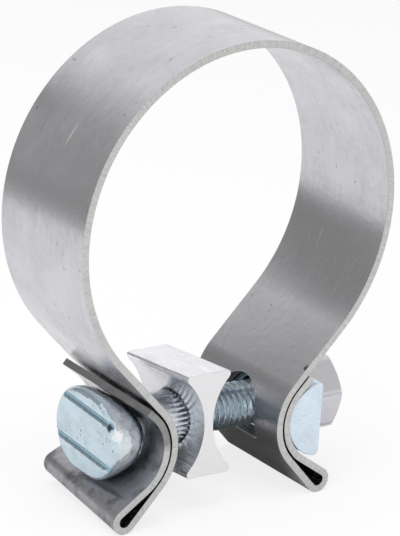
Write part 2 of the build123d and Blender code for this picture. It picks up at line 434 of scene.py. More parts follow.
class BandMaker:
    """Builds the folded strip from rows of points across it."""

    def __init__(self, sizes):
        self.sizes = sizes
        self.shape = bmesh.new()
        self.strip_layer = self.shape.verts.layers.float_vector.new("along_strip")
        self.normal_layer = self.shape.verts.layers.float_vector.new("own_normal")
        self.flat_layer = self.shape.faces.layers.int.new("flat")
        self.half_width = (band_high.y - band_low.y) / 2
        self.face_width = self.half_width - sizes.edge_round
        self.outline = slot_outline(sizes)
        self.profile = []
        for angle in between(0, pi / 2, ROUND_STEPS) + between(pi / 2, pi, ROUND_STEPS):
            depth = sizes.edge_round * (1 - cos(angle))
            if len(self.profile) > ROUND_STEPS:
                depth += sizes.thickness - 2 * sizes.edge_round
            self.profile.append((sizes.edge_round * (1 - sin(angle)), depth, sin(angle), -cos(angle)))

    def vertex(self, half, along, width, depth, side_way=(0, 0, 0), side_lean=0.0, depth_lean=None):
        """One vertex of the strip, with its normal leaning out of its face or towards side_way."""
        place, out = half.at(along, depth)
        place.y = width
        if half.side < 0:
            place, out = self.bend_askew(place, out)
        vertex = self.shape.verts.new(place)
        vertex[self.strip_layer] = (half.side * along, width, depth)
        if depth_lean is None:
            depth_lean = 1 if depth > self.sizes.thickness / 2 else -1
        vertex[self.normal_layer] = (Vector(side_way) * side_lean + out * depth_lean).normalized()
        return vertex

    def askew(self, place):
        """How far the left ear's skew moves a point. Its far side stands further in, and its hem higher."""
        sizes = self.sizes
        far = (place.y + self.half_width) / (2 * self.half_width)
        turned = sizes.left_ear_turn * smooth_share(bolt_z + ASKEW_TOP - place.z, 0.0, ASKEW_HEIGHT)
        raised = sizes.left_hem_rise * smooth_share(bolt_z - place.z, sizes.slot_foot, sizes.hem_drop)
        return Vector((turned * far, 0, raised * far))

    def bend_askew(self, place, out):
        """A point of the left ear and its normal, both moved by the skew."""
        move = self.askew(place)
        across = (self.askew(place + Vector((0, ASKEW_STEP, 0))) - move) / ASKEW_STEP
        upward = (self.askew(place + Vector((0, 0, ASKEW_STEP))) - move) / ASKEW_STEP
        lean_z = (out.z - out.x * upward.x) / (1 + upward.z)
        lean_y = -out.x * across.x - lean_z * across.z
        return place + move, Vector((out.x, lean_y, lean_z)).normalized()

    def long_edge(self, half, alongs, hand):
        """The rounded edge of the strip on one hand, from its inner face to its back."""
        row = []
        for inset, depth, side_lean, depth_lean in self.profile:
            along = alongs[0] + (alongs[1] - alongs[0]) * depth / self.sizes.thickness
            width = hand * (self.half_width - inset)
            row.append(self.vertex(half, along, width, depth, (0, hand, 0), side_lean, depth_lean))
        return row

    def plain_row(self, half, along_at, inner_width):
        """A row right across the strip: its inner face, its back and its two edges."""
        side = between(inner_width, self.face_width, SIDE_COLUMNS)
        middle = between(-inner_width, inner_width, FOOT_COLUMNS)[1:-1] if inner_width else []
        widths = [-w for w in reversed(side)] + middle + side[0 if inner_width else 1:]
        faces = [
            [self.vertex(half, along_at(width), width, depth) for width in widths]
            for depth in (0.0, self.sizes.thickness)
        ]
        edges = [self.long_edge(half, [along_at(hand * self.face_width)] * 2, hand) for hand in (-1, 1)]
        return faces, edges

    def join_plain(self, first, second):
        """Joins two rows that run right across the strip."""
        for part, material in ((0, FACE), (1, EDGE)):
            for k in (0, 1):
                join_rows(self.shape, first[part][k], second[part][k], material=material)

    def run_plain(self, half, row, start, end, step, inner_width):
        """Carries on from a row with plain rows from one length along the strip to another."""
        for along in steps_between(start, end, step):
            following = self.plain_row(half, lambda width: along, inner_width)
            if row:
                self.join_plain(row, following)
            row = following
        return row

    def slot_wall(self, half, width, height, across, up, reach):
        """The slot's rounded wall at one point of its outline, from the inner face to the back."""
        row = []
        for inset, depth, side_lean, depth_lean in self.profile:
            along = half.find_height(height + up * inset, depth, *reach)
            out = half.at(along, depth)[1]
            hole_way = Vector((0, -across, -up))
            hole_way = (hole_way - out * hole_way.dot(out)).normalized()
            wall = width + across * inset
            row.append(self.vertex(half, along, wall, depth, hole_way, side_lean, depth_lean))
        return row

    def slot_side(self, half, number, hand, levels, reach):
        """The row beside the slot on one hand: two faces, the strip's edge and the slot's wall."""
        width, height, across, up = self.outline[number]
        down = number / (len(self.outline) - 1)
        wall = self.slot_wall(half, hand * width, height, hand * across, up, reach)
        alongs = [levels[0][k] + (levels[1][k] - levels[0][k]) * down for k in (0, 1)]
        faces = []
        for k, depth in enumerate((0.0, self.sizes.thickness)):
            rim = wall[-k]
            rim_along, rim_width = half.side * rim[self.strip_layer][0], rim[self.strip_layer][1]
            row = [rim]
            for part in between(0, 1, SIDE_COLUMNS)[1:]:
                along = rim_along + (alongs[k] - rim_along) * part
                width = rim_width + (hand * self.face_width - rim_width) * part
                row.append(self.vertex(half, along, width, depth))
            faces.append(row)
        return faces, self.long_edge(half, alongs, hand), wall

    def slot_rows(self, half, reach):
        """Builds the strip round the slot. Gives the rows right across it at the slot's top and foot."""
        levels = [
            [half.find_height(self.outline[end][1], depth, *reach) for depth in (0.0, self.sizes.thickness)]
            for end in (0, -1)
        ]
        sides = {}
        for hand in (-1, 1):
            count = len(self.outline)
            sides[hand] = rows = [self.slot_side(half, k, hand, levels, reach) for k in range(count)]
            for (faces, *borders), (next_faces, *next_borders) in zip(rows, rows[1:]):
                for first, second in zip(faces, next_faces):
                    join_rows(self.shape, first, second)
                for first, second in zip(borders, next_borders):
                    join_rows(self.shape, first, second, material=EDGE)
        foot_width, foot_height = self.outline[-1][:2]
        foot = [
            self.slot_wall(half, width, foot_height, 0, -1, reach)
            for width in between(-foot_width, foot_width, FOOT_COLUMNS)
        ]
        join_chain(self.shape, foot, material=EDGE)
        ends = []
        for number, middle in ((0, []), (-1, foot[1:-1])):
            left, right = sides[-1][number], sides[1][number]
            faces = [
                left[0][k][::-1] + [wall[-k] for wall in middle] + right[0][k][0 if middle else 1:]
                for k in (0, 1)
            ]
            ends.append((faces, [left[1], right[1]]))
        return ends, levels

    def half(self, side):
        """Builds half of the strip, from the top of the ring to the end of one flap."""
        sizes = self.sizes
        half = StripHalf(sizes, side)
        ring_end, ear_end, hem_end, flap_end = half.bend_ends
        (ear_top, ear_foot), ear_levels = self.slot_rows(half, (ring_end, ear_end))
        (flap_top, flap_foot), flap_levels = self.slot_rows(half, (hem_end, flap_end + sizes.flap_straight))
        foot_width = self.outline[-1][0]
        row = self.run_plain(half, None, 0.0, min(ear_levels[0]) - SLOT_MARGIN, RING_STEP, 0.0)
        self.join_plain(row, ear_top)
        row = self.run_plain(
            half, ear_foot, max(ear_levels[1]) + SLOT_MARGIN, min(flap_levels[1]) - SLOT_MARGIN,
            FOLD_STEP, foot_width,
        )
        self.join_plain(row, flap_foot)
        row = flap_top
        start = max(flap_levels[0]) + SLOT_MARGIN
        skew, short = (sizes.left_flap_skew, sizes.left_flap_short) if side < 0 else (0.0, 0.0)
        flap_length = flap_end + sizes.flap_straight - short
        for part in between(0, 1, FLAP_STEPS):
            def along_at(width):
                end = flap_length + skew * (width + self.half_width) / (2 * self.half_width)
                return start + (end - start) * part

            following = self.plain_row(half, along_at, 0.0)
            self.join_plain(row, following)
            row = following
        flat = len(self.shape.faces)
        join_rows(self.shape, row[0][0], row[0][1], material=EDGE)
        for edge in row[1]:
            add_face(self.shape, edge, EDGE)
        self.shape.faces.ensure_lookup_table()
        for face in self.shape.faces[flat:]:
            face[self.flat_layer] = 1


def build_band(sizes, materials):
    """The band: one strip, rolled, folded and slotted."""
    maker = BandMaker(sizes)
    maker.half(1)
    maker.half(-1)
    shape = maker.shape
    bmesh.ops.remove_doubles(shape, verts=shape.verts, dist=MERGE_DISTANCE)
    mesh = finish_piece("clamp_band", shape, "clamp", "band", materials).data
    own = [normal.vector.copy() for normal in mesh.attributes["own_normal"].data]
    flat = [value.value for value in mesh.attributes["flat"].data]
    mesh.normals_split_custom_set([
        face.normal.copy() if flat[face.index] else own[corner]
        for face in mesh.polygons for corner in face.vertices
    ])
    for name in ("own_normal", "flat"):
        mesh.attributes.remove(mesh.attributes[name])


# The bolt

FACE_RINGS = 50
HEAD_OFFSET = 0.00075
RIM_STEPS = 5
CAP_STEPS = 14
NECK_STEPS = 4
# Share of a turn and share of the thread's depth, crest first
THREAD_SHAPE = (
    (0.0, 1.0), (0.045, 1.0), (0.075, 0.955), (0.4, 0.055), (0.45, 0.0),
    (0.55, 0.0), (0.6, 0.055), (0.925, 0.955), (0.955, 1.0),
)
THREAD_DEPTH_PER_PITCH = 0.6134
BOLT_CREASE = radians(38)


def stadium_ray(straight, radius, angle):
    """Distance from the middle of a stadium to its outline at an angle."""
    half = straight / 2
    across, up = abs(cos(angle)), abs(sin(angle))
    if up > 0 and radius * across / up <= half:
        return radius / up
    return half * across + sqrt(max(0.0, radius**2 - (half * up) ** 2))


def underside_ray(sizes, lean, angle):
    """Distance from the middle of the head's underside to its outline. The lean grows from the flat face
    to the neck."""
    reach = sizes.head_radius + sizes.head_straight / 2
    length_there = reach * (1 - sin(lean) ** sizes.head_fullness) ** (1 / sizes.head_fullness)
    radius = sizes.head_radius * cos(lean)
    return stadium_ray(2 * (length_there - radius), radius, angle)


def neck_lean(sizes, angle):
    """The lean at which the head's underside meets the neck."""
    return halve(0.0, pi / 2, lambda lean: underside_ray(sizes, lean, angle) > sizes.neck_radius)


def groove_cut(sizes, width, height):
    """How far the two grooves cut into the head at a point of its flat face."""
    up = (height - sizes.groove_rise) * cos(sizes.groove_tilt) - width * sin(sizes.groove_tilt)
    off = abs(abs(up) - sizes.groove_spacing / 2)
    if off >= sizes.groove_half:
        return -sizes.groove_half
    return sizes.groove_depth * (1 + cos(pi * off / sizes.groove_half)) / 2


def thread_radius(sizes, x, angle):
    """Radius of the thread at a place along the bolt and an angle round it."""
    phase = (x / sizes.thread_pitch - angle / (2 * pi)) % 1.0
    for (start, low), (end, high) in zip(THREAD_SHAPE, THREAD_SHAPE[1:] + ((1.0, 1.0),)):
        if phase <= end:
            share_out = low + (high - low) * (phase - start) / (end - start)
            break
    depth = THREAD_DEPTH_PER_PITCH * sizes.thread_pitch
    return sizes.thread_radius - depth * (1 - share_out)


def build_bolt(sizes, materials):
    """The bolt in one skin, from the middle of its flat head to the middle of its threaded end."""
    shape = bmesh.new()
    face_x, head_x = bolt_low.x, bolt_low.x + HEAD_OFFSET
    tooth = 2 * pi / sizes.knurl_teeth
    flank = sizes.knurl_depth / sizes.neck_radius
    spots = (0, flank / 2, flank, tooth / 2, tooth - flank, tooth - flank / 2)
    angles = [tooth * k + spot for k in range(sizes.knurl_teeth) for spot in spots]
    rows = []

    def add_row(points):
        rows.append([shape.verts.new(round_point(*point, angle)) for point, angle in zip(points, angles)])

    def grooved_row(x, radii):
        points = []
        for angle, radius in zip(angles, radii):
            depth = groove_cut(sizes, radius * cos(angle), radius * sin(angle))
            points.append((max(x, face_x + depth), radius))
        add_row(points)

    def round_row(x, radius):
        add_row([(x, radius)] * len(angles))

    def knurl_row(x):
        crest = sizes.neck_radius + sizes.knurl_crest
        cuts = [sizes.knurl_depth, sizes.knurl_depth / 2, 0, 0, 0, sizes.knurl_depth / 2]
        add_row([(x, crest - cuts[k % len(spots)]) for k in range(len(angles))])

    big, rim, straight = sizes.head_radius, sizes.head_rim, sizes.head_straight
    rim_x = rim - HEAD_OFFSET
    rim_radius = sqrt((big - rim) ** 2 - rim_x**2)
    for part in between(0, 1, FACE_RINGS)[1:]:
        grooved_row(face_x, [part * stadium_ray(straight, rim_radius, angle) for angle in angles])
    rim_turn = pi - atan2(rim_radius, rim_x)
    for part in between(0, 1, RIM_STEPS)[1:]:
        turn = pi - part * rim_turn
        x, reach = head_x + (rim_x + rim * cos(turn)), rim_radius + rim * sin(turn)
        grooved_row(x, [stadium_ray(straight, reach, angle) for angle in angles])
    first_lean = asin(rim_x / (big - rim))
    last_leans = [neck_lean(sizes, angle) for angle in angles]
    for part in between(0, 1, CAP_STEPS)[1:]:
        points = []
        for angle, last_lean in zip(angles, last_leans):
            lean = first_lean + (last_lean - first_lean) * part
            points.append((head_x + big * sin(lean), underside_ray(sizes, lean, angle)))
        add_row(points)
    start, end = -sizes.knurl_start, -sizes.knurl_end
    for x in between(head_x + big, start, NECK_STEPS):
        round_row(x, sizes.neck_radius)
    knurl_row(start + sizes.knurl_depth)
    knurl_row(end - sizes.knurl_depth)
    round_row(end, sizes.neck_radius - sizes.knurl_depth)
    round_row(end, sizes.thread_radius)
    join_chain(shape, rows, closed=True)
    close_ring(shape, (face_x, 0, bolt_z), rows[0])
    build_thread(shape, sizes, angles, end, bolt_high.x)
    bmesh.ops.remove_doubles(shape, verts=shape.verts, dist=MERGE_DISTANCE)
    finish_piece("clamp_bolt", shape, "clamp", "bolt", materials, BOLT_CREASE)


def build_thread(shape, sizes, angles, start, end):
    """The threaded end: rows that climb with the thread, cut off at both ends."""
    phases = [phase for phase, _ in THREAD_SHAPE[1:]]
    turns = ceil((end - start) / sizes.thread_pitch) + 2
    first_turn = round(start / sizes.thread_pitch) - 1

    def vertex(x, angle):
        chamfered = sizes.thread_radius - max(0.0, x - (end - sizes.end_chamfer))
        return shape.verts.new(round_point(x, min(thread_radius(sizes, x, angle), chamfered), angle))

    bottom, top, rows = [], [], []
    for angle in angles:
        bottom.append(vertex(start, angle))
        top.append(vertex(end, angle))
    for turn in range(turns):
        for phase in phases:
            row = []
            for k, angle in enumerate(angles):
                x = sizes.thread_pitch * (first_turn + turn + phase + angle / (2 * pi))
                if x <= start:
                    row.append(bottom[k])
                elif x >= end:
                    row.append(top[k])
                else:
                    row.append(vertex(x, angle))
            rows.append(row)
    for j in range(len(rows) - 1):
        join_rows(shape, rows[j], rows[j + 1])
        seam = j + len(phases)
        after = [rows[min(seam + n, len(rows) - 1)][0] for n in (0, 1)]
        add_face(shape, (rows[j][-1], after[0], after[1], rows[j + 1][-1]))
    foot = [shape.verts.new(round_point(start, sizes.thread_radius, angle)) for angle in angles]
    join_rows(shape, foot, bottom, closed=True)
    close_ring(shape, (end, 0, bolt_z), top)


# Drilled bars: the spacer block and the saddle washer

END = 1
HOLE_RINGS = 9
END_STEPS = 22
LONG_STEPS = 26
LIP_STEPS = 5
BAR_CREASE = radians(35)
BLOCK_EDGE = 0.00012
BLOCK_EDGE_ANGLE = radians(40)
WASHER_EDGE_ANGLE = radians(50)


def drilled_bar(faces, low, high, lips, half_length, hole_radius, hole_chamfer, place):
    """A straight bar with a hole from front to back. faces give how far out the front and the back
    stand at a height between low and high, and lips are the outlines that join them."""
    shape = bmesh.new()

    def vertex(out, along, up):
        return shape.verts.new(place(out, along, up))

    border = [(half_length, up) for up in between(low, high, END_STEPS)[:-1]]
    border += [(along, high) for along in between(half_length, -half_length, LONG_STEPS)[:-1]]
    border += [(-half_length, up) for up in between(high, low, END_STEPS)[:-1]]
    border += [(along, low) for along in between(-half_length, half_length, LONG_STEPS)[:-1]]
    wide = hole_radius + hole_chamfer
    rings = [(0, hole_radius, hole_chamfer)] + [(part, wide, 0) for part in between(0, 1, HOLE_RINGS)]
    rims, edges = [], []
    for face, inward in zip(faces, (-1, 1)):
        rows = []
        for part, radius, cut in rings:
            row = []
            for along, up in border:
                scale = (1 - part) * radius / hypot(along, up) + part
                row.append(vertex(face(up * scale) + inward * cut, along * scale, up * scale))
            rows.append(row)
        join_chain(shape, rows, closed=True)
        rims.append(rows[0])
        edges.append(rows[-1])
    join_rows(shape, rims[0], rims[1], closed=True)
    starts = (0, END_STEPS, END_STEPS + LONG_STEPS, 2 * END_STEPS + LONG_STEPS, len(border))
    for number in range(4):
        spots = [k % len(border) for k in range(starts[number], starts[number + 1] + 1)]
        if number % 2 == 0:
            join_rows(shape, [edges[0][k] for k in spots], [edges[1][k] for k in spots], material=END)
            continue
        lip = lips[number // 2]
        rows = [
            [edges[0][k], *[vertex(out, border[k][0], up) for out, up in lip], edges[1][k]] for k in spots
        ]
        join_chain(shape, rows)
        for row in (rows[0], rows[-1]):
            add_face(shape, row, END)
    return shape


def rounded(points, radius, steps=4):
    """A chain of points with its inner corners rounded, without its two ends."""
    line = []
    for before, corner, after in zip(points, points[1:], points[2:]):
        back, on = (before - corner).normalized(), (after - corner).normalized()
        opening = acos(max(-1.0, min(1.0, back.dot(on))))
        reach = radius / tan(opening / 2)
        centre = corner + (back + on).normalized() * (radius / sin(opening / 2))
        start, end = corner + back * reach - centre, corner + on * reach - centre
        turn = start.angle_signed(end)
        for part in between(0, 1, steps):
            turned = start.copy()
            turned.rotate(Matrix.Rotation(-turn * part, 2))
            line.append(centre + turned)
    return line


def build_block(sizes, materials):
    """The spacer block: an I-shaped extrusion, drilled across and turned a little on the bolt."""
    rise = sizes.height / 2 - sizes.lip
    sag = (sizes.width - sizes.web) / 2
    radius = (rise**2 + sag**2) / (2 * sag)
    reach = rise - sizes.tip

    def front(up):
        return sizes.web / 2 + radius - sqrt(radius**2 - (up - sizes.rise) ** 2)

    def lip(hand):
        side = sizes.width / 2
        corners = [(front(sizes.rise + reach), reach), (side, rise), (side, sizes.height / 2)]
        corners += [(-out, up) for out, up in reversed(corners)]
        points = [Vector((out, sizes.rise + hand * up)) for out, up in corners]
        return [tuple(point) for point in rounded(points, sizes.tip)]

    def place(out, along, up):
        return (
            out - sizes.place,
            along * cos(sizes.turn) - up * sin(sizes.turn),
            bolt_z + up * cos(sizes.turn) + along * sin(sizes.turn),
        )

    shape = drilled_bar(
        (front, lambda up: -front(up)), sizes.rise - reach, sizes.rise + reach, (lip(1), lip(-1)),
        sizes.length / 2, sizes.hole_radius, sizes.hole_chamfer, place,
    )
    block = finish_piece(
        "clamp_spacer_block", shape, "clamp", "spacer_block", materials, BAR_CREASE
    )
    soften_edges(block, BLOCK_EDGE, BLOCK_EDGE_ANGLE)


def build_washer(sizes, materials):
    """The saddle washer: a half-round bar with rounded ends and a hole."""
    flat_x = washer_high.x
    middle_x = washer_low.x + sizes.radius
    corner_x = flat_x - sizes.corner - middle_x
    corner_up = sqrt((sizes.radius - sizes.corner) ** 2 - corner_x**2)
    turn = atan2(corner_up, corner_x)
    back_turn = pi - asin(corner_up / sizes.radius)

    def lip(hand):
        arcs = (
            (middle_x + corner_x, corner_up, sizes.corner, between(0, turn, LIP_STEPS)[1:]),
            (middle_x, 0, sizes.radius, between(turn, back_turn, LIP_STEPS)[1:-1]),
        )
        return [
            (x + radius * cos(angle), hand * (up + radius * sin(angle)))
            for x, up, radius, turns in arcs for angle in turns
        ]

    shape = drilled_bar(
        (lambda up: flat_x, lambda up: middle_x - sqrt(sizes.radius**2 - up**2)),
        -corner_up, corner_up, (lip(1), lip(-1)),
        (washer_high.y - washer_low.y) / 2, sizes.hole_radius, sizes.hole_chamfer,
        lambda out, along, up: (out, along, bolt_z + up),
    )
    washer = finish_piece(
        "clamp_saddle_washer", shape, "washer", "saddle_washer", materials, BAR_CREASE
    )
    soften_edges(washer, sizes.edge, WASHER_EDGE_ANGLE, segments=3)


# The locking nut

NUT_SIDES = 6
COLUMNS_PER_FLAT = 24
CORNER_ROUND = 0.0004
NUT_LEAD = 0.0006
NUT_RIM = 0.0002
NUT_CREASE = radians(25)


def hexagon_ray(flats, angle):
    """Distance from the middle of a hexagon with rounded corners to its outline, from a corner's angle."""
    side = 2 * pi / NUT_SIDES
    off = abs((angle + side / 2) % side - side / 2)
    straight = flats / 2 / cos(side / 2 - off)
    middle = (flats / 2 - CORNER_ROUND) / cos(side / 2)
    reach = middle * sin(off)
    if reach > CORNER_ROUND:
        return straight
    return min(straight, middle * cos(off) + sqrt(CORNER_ROUND**2 - reach**2))


def build_nut(sizes, materials):
    """The locking nut: a hexagon with turned corners and a coned crown."""
    shape = bmesh.new()
    seat_x, end_x = nut_low.x, nut_high.x
    crown_x = end_x - sizes.crown_height
    turned = sizes.flats / 2
    corner = turned / cos(pi / NUT_SIDES)
    count = NUT_SIDES * COLUMNS_PER_FLAT
    angles = [2 * pi * k / count for k in range(count)]
    bore, lead, rim = sizes.bore_radius, NUT_LEAD, NUT_RIM
    crown = sizes.crown_radius - sizes.crown_draw

    def profile(out):
        return (
            (seat_x + lead, bore), (seat_x, bore + lead), (seat_x, turned - 2 * rim),
            (seat_x + rim / 2 + (out - turned) / sqrt(3), out),
            (crown_x - rim - sizes.chamfer * (out - turned) / (corner - turned), out),
            (crown_x, turned - rim), (crown_x, sizes.crown_radius),
            (end_x - rim, crown), (end_x, crown - rim), (end_x, bore + lead / 2), (end_x - lead / 2, bore),
        )

    columns = []
    for angle in angles:
        spots = profile(hexagon_ray(sizes.flats, angle))
        columns.append([round_point(x, radius, angle + sizes.turn) for x, radius in spots])
    rows = [[shape.verts.new(point) for point in row] for row in zip(*columns)]
    join_chain(shape, rows + rows[:1], closed=True)
    finish_piece("clamp_nut", shape, "nut", "nut", materials, NUT_CREASE)


# Materials

class Shader:
    """A node tree, emptied, with short calls for adding nodes and their links."""

    def __init__(self, tree):
        self.tree = tree
        tree.nodes.clear()

    def add(self, kind, inputs=None, **settings):
        """Adds a node. An input is either a socket to link or a value."""
        node = self.tree.nodes.new("ShaderNode" + kind)
        for name, value in settings.items():
            setattr(node, name, value)
        for name, value in (inputs or {}).items():
            if isinstance(value, bpy.types.NodeSocket):
                self.tree.links.new(value, node.inputs[name])
            else:
                node.inputs[name].default_value = value
        return node

    def maths(self, operation, first, second=0.0, **settings):
        return self.add("Math", {0: first, 1: second}, operation=operation, **settings).outputs[0]

    def plus(self, first, second):
        return self.maths("ADD", first, second)

    def minus(self, first, second):
        return self.maths("SUBTRACT", first, second)

    def times(self, first, second):
        return self.maths("MULTIPLY", first, second)

    def absolute(self, value):
        return self.maths("ABSOLUTE", value)

    def vector(self, operation, first, second=(0, 0, 0), output="Vector"):
        return self.add("VectorMath", {0: first, 1: second}, operation=operation).outputs[output]

    def split(self, vector):
        """The three numbers of a vector."""
        return self.add("SeparateXYZ", {0: vector}).outputs

    def join(self, first, second, third):
        return self.add("CombineXYZ", {0: first, 1: second, 2: third}).outputs[0]

    def noise(self, place, scale, detail=2.0, roughness=0.5):
        inputs = {"Vector": place, "Scale": scale, "Detail": detail, "Roughness": roughness}
        return self.add("TexNoise", inputs).outputs["Fac"]

    def ramp(self, value, low, high, start=0.0, end=1.0):
        inputs = {"Value": value, "From Min": low, "From Max": high, "To Min": start, "To Max": end}
        return self.add("MapRange", inputs).outputs["Result"]

    def mix_colour(self, part, first, second):
        return self.add("Mix", {0: part, 6: first, 7: second}, data_type="RGBA").outputs[2]

    def group(self, tree, **inputs):
        """Places a shared group, and gives its output."""
        named = {name.replace("_", " "): value for name, value in inputs.items()}
        return self.add("Group", named, node_tree=tree).outputs[0]


def nodes_of(holder):
    """The emptied node tree of a new material or world."""
    holder.use_nodes = True
    return Shader(holder.node_tree)


def shared_group(name, output, **inputs):
    """Turns a builder into a call that gives one shader group with named inputs, made only once."""

    def wrap(build):
        def tree_of():
            if name in bpy.data.node_groups:
                return bpy.data.node_groups[name]
            tree = bpy.data.node_groups.new(name, "ShaderNodeTree")
            for label, value in inputs.items():
                kind = "NodeSocketVector" if value is None else "NodeSocketFloat"
                label = label.replace("_", " ")
                socket = tree.interface.new_socket(label, in_out="INPUT", socket_type=kind)
                if value is not None:
                    socket.default_value = value
            tree.interface.new_socket(output, in_out="OUTPUT", socket_type="NodeSocketFloat")
            shader = Shader(tree)
            start, end = tree.nodes.new("NodeGroupInput"), tree.nodes.new("NodeGroupOutput")
            tree.links.new(build(shader, start.outputs), end.inputs[output])
            return tree

        return tree_of

    return wrap


@shared_group("cloudy patches", "Tone", Place=None, Scale=100.0)
def cloudy_patches(shader, given):
    """Soft cloudy patches with finer ones in them."""
    soft = shader.noise(given["Place"], given["Scale"], 3)
    fine = shader.noise(given["Place"], shader.times(given["Scale"], 5.3), 2)
    return shader.ramp(shader.plus(shader.times(soft, 0.65), shader.times(fine, 0.35)), 0.38, 0.62)


@shared_group("fine lines", "Tone", Place=None, Scale=1500.0, Stretch=0.05)
def fine_lines(shader, given):
    """Fine lines along the first axis, as rolling, drawing or sawing leaves them."""
    place = shader.vector("MULTIPLY", given["Place"], shader.join(given["Stretch"], 1.0, 1.0))
    return shader.ramp(shader.noise(place, given["Scale"], 3, 0.6), 0.3, 0.7)


@shared_group("thin scratches", "Mask", Place=None, Scale=60.0, Amount=0.5)
def thin_scratches(shader, given):
    """Thin scratches in three directions, broken up by patches."""
    found = None
    for turn, shift in ((0.3, 0.0), (1.25, 0.4), (2.4, 0.9)):
        inputs = {"Location": (shift, shift, 0), "Rotation": (0, 0, turn), "Scale": (1, 28, 1)}
        place = shader.add("Mapping", {"Vector": given["Place"], **inputs}).outputs[0]
        line = shader.noise(place, given["Scale"], 1, 0.4)
        found = line if found is None else shader.maths("MAXIMUM", found, line)
    keep = shader.ramp(shader.noise(given["Place"], shader.times(given["Scale"], 3.0)), 0.45, 0.6)
    least = shader.ramp(given["Amount"], 0.0, 1.0, 0.8, 0.64)
    return shader.times(shader.maths("MULTIPLY", shader.minus(found, least), 25.0, use_clamp=True), keep)


@shared_group("scattered specks", "Mask", Place=None, Scale=500.0, Amount=0.3)
def scattered_specks(shader, given):
    """Small scattered pits and specks."""
    cell = shader.add("TexVoronoi", {"Vector": given["Place"], "Scale": given["Scale"], "Randomness": 1.0})
    red = shader.add("SeparateColor", {"Color": cell.outputs["Color"]}).outputs[0]
    chosen = shader.maths("LESS_THAN", red, given["Amount"])
    return shader.times(chosen, shader.ramp(cell.outputs["Distance"], 0.12, 0.3, 1.0, 0.0))


@shared_group("single mark", "Mask", Place=None, Centre=None, Half_size=None, Turn=0.0)
def single_mark(shader, given):
    """One mark: full within its half sizes round its centre, with a ragged border."""
    away = shader.vector("SUBTRACT", given["Place"], given["Centre"])
    turned = shader.add("VectorRotate", {"Vector": away, "Angle": given["Turn"]}, rotation_type="Z_AXIS")
    scaled = shader.vector("DIVIDE", turned.outputs[0], given["Half size"])
    reach = shader.vector("LENGTH", scaled, output="Value")
    ragged = shader.times(shader.minus(shader.noise(scaled, 1.6, 4), 0.5), 1.4)
    return shader.ramp(shader.plus(reach, ragged), 0.6, 1.0, 1.0, 0.0)


DARK = (0.02, 0.02, 0.025)
# Colour of painted glints
GLINT = (0.95, 0.95, 0.97)
GROOVE_BLUE = (0.18, 0.36, 0.47)
SIDE_GREY = (0.7, 0.72, 0.74)


class Metal:
    """A metal finish in the making: its colour, roughness and height change over the surface.

    Each layer says how far the colour goes towards another where the layer's mask is full, and how much
    rougher and higher the surface is there."""

    def __init__(self, name, tint, roughness, wear=0.0, axes=None):
        self.material = bpy.data.materials.new(name)
        self.shader = nodes_of(self.material)
        if axes is None:
            self.place = self.shader.add("Attribute", attribute_name="along_strip").outputs["Vector"]
        else:
            parts = self.shader.split(self.shader.add("TexCoord").outputs["Object"])
            self.place = self.shader.join(*[parts[axis] for axis in axes])
        self.tint = (*tint, 1.0)
        self.roughness = roughness
        self.wear = wear
        self.height = 0.0

    def shade(self, mask, change, rougher=0.0, higher=0.0, towards=DARK):
        """One layer of any mask."""
        shader = self.shader
        if change:
            self.tint = shader.mix_colour(shader.times(mask, change), self.tint, (*towards, 1))
        if rougher:
            self.roughness = shader.plus(shader.times(mask, rougher), self.roughness)
        if higher:
            self.height = shader.plus(self.height, shader.times(mask, higher))

    def layer(self, tree, inputs, look):
        """One layer of a shared group."""
        self.shade(self.shader.group(tree, Place=self.place, **inputs), *look)

    def patches(self, scale, *look):
        self.layer(cloudy_patches(), {"Scale": scale}, look)

    def lines(self, scale, stretch, *look):
        self.layer(fine_lines(), {"Scale": scale, "Stretch": stretch}, look)

    def scratches(self, scale, *look):
        self.layer(thin_scratches(), {"Scale": scale, "Amount": self.wear}, look)

    def specks(self, scale, amount, *look):
        self.layer(scattered_specks(), {"Scale": scale, "Amount": amount}, look)

    def mark(self, centre, half_size, turn, *look):
        self.layer(single_mark(), {"Centre": centre, "Half_size": half_size, "Turn": turn}, look)

    def finish(self, depth):
        """Ends the material. depth is how far the height stands out, in metres."""
        shader = self.shader
        inputs = {"Base Color": self.tint, "Roughness": self.roughness, "Metallic": 1.0}
        if isinstance(self.height, bpy.types.NodeSocket):
            bump = shader.add("Bump", {"Height": self.height, "Distance": depth, "Strength": 1.0})
            inputs["Normal"] = bump.outputs[0]
        body = shader.add("BsdfPrincipled", inputs)
        shader.add("OutputMaterial", {"Surface": body.outputs[0]})
        return self.material


# Where the strip's painted fold shade, the ledge's smudges and painted shade and the flap edge's darkening
# start and end, along the strip from the top of the ring or through it
FOLD_START = (0.1, 0.128)
FOLD_END = (0.142, 0.165)
INNER_FACE = (0.0004, 0.0012)
LEDGE_START = (0.134, 0.14)
FLAP_EDGE_START = (0.1625, 0.1645)


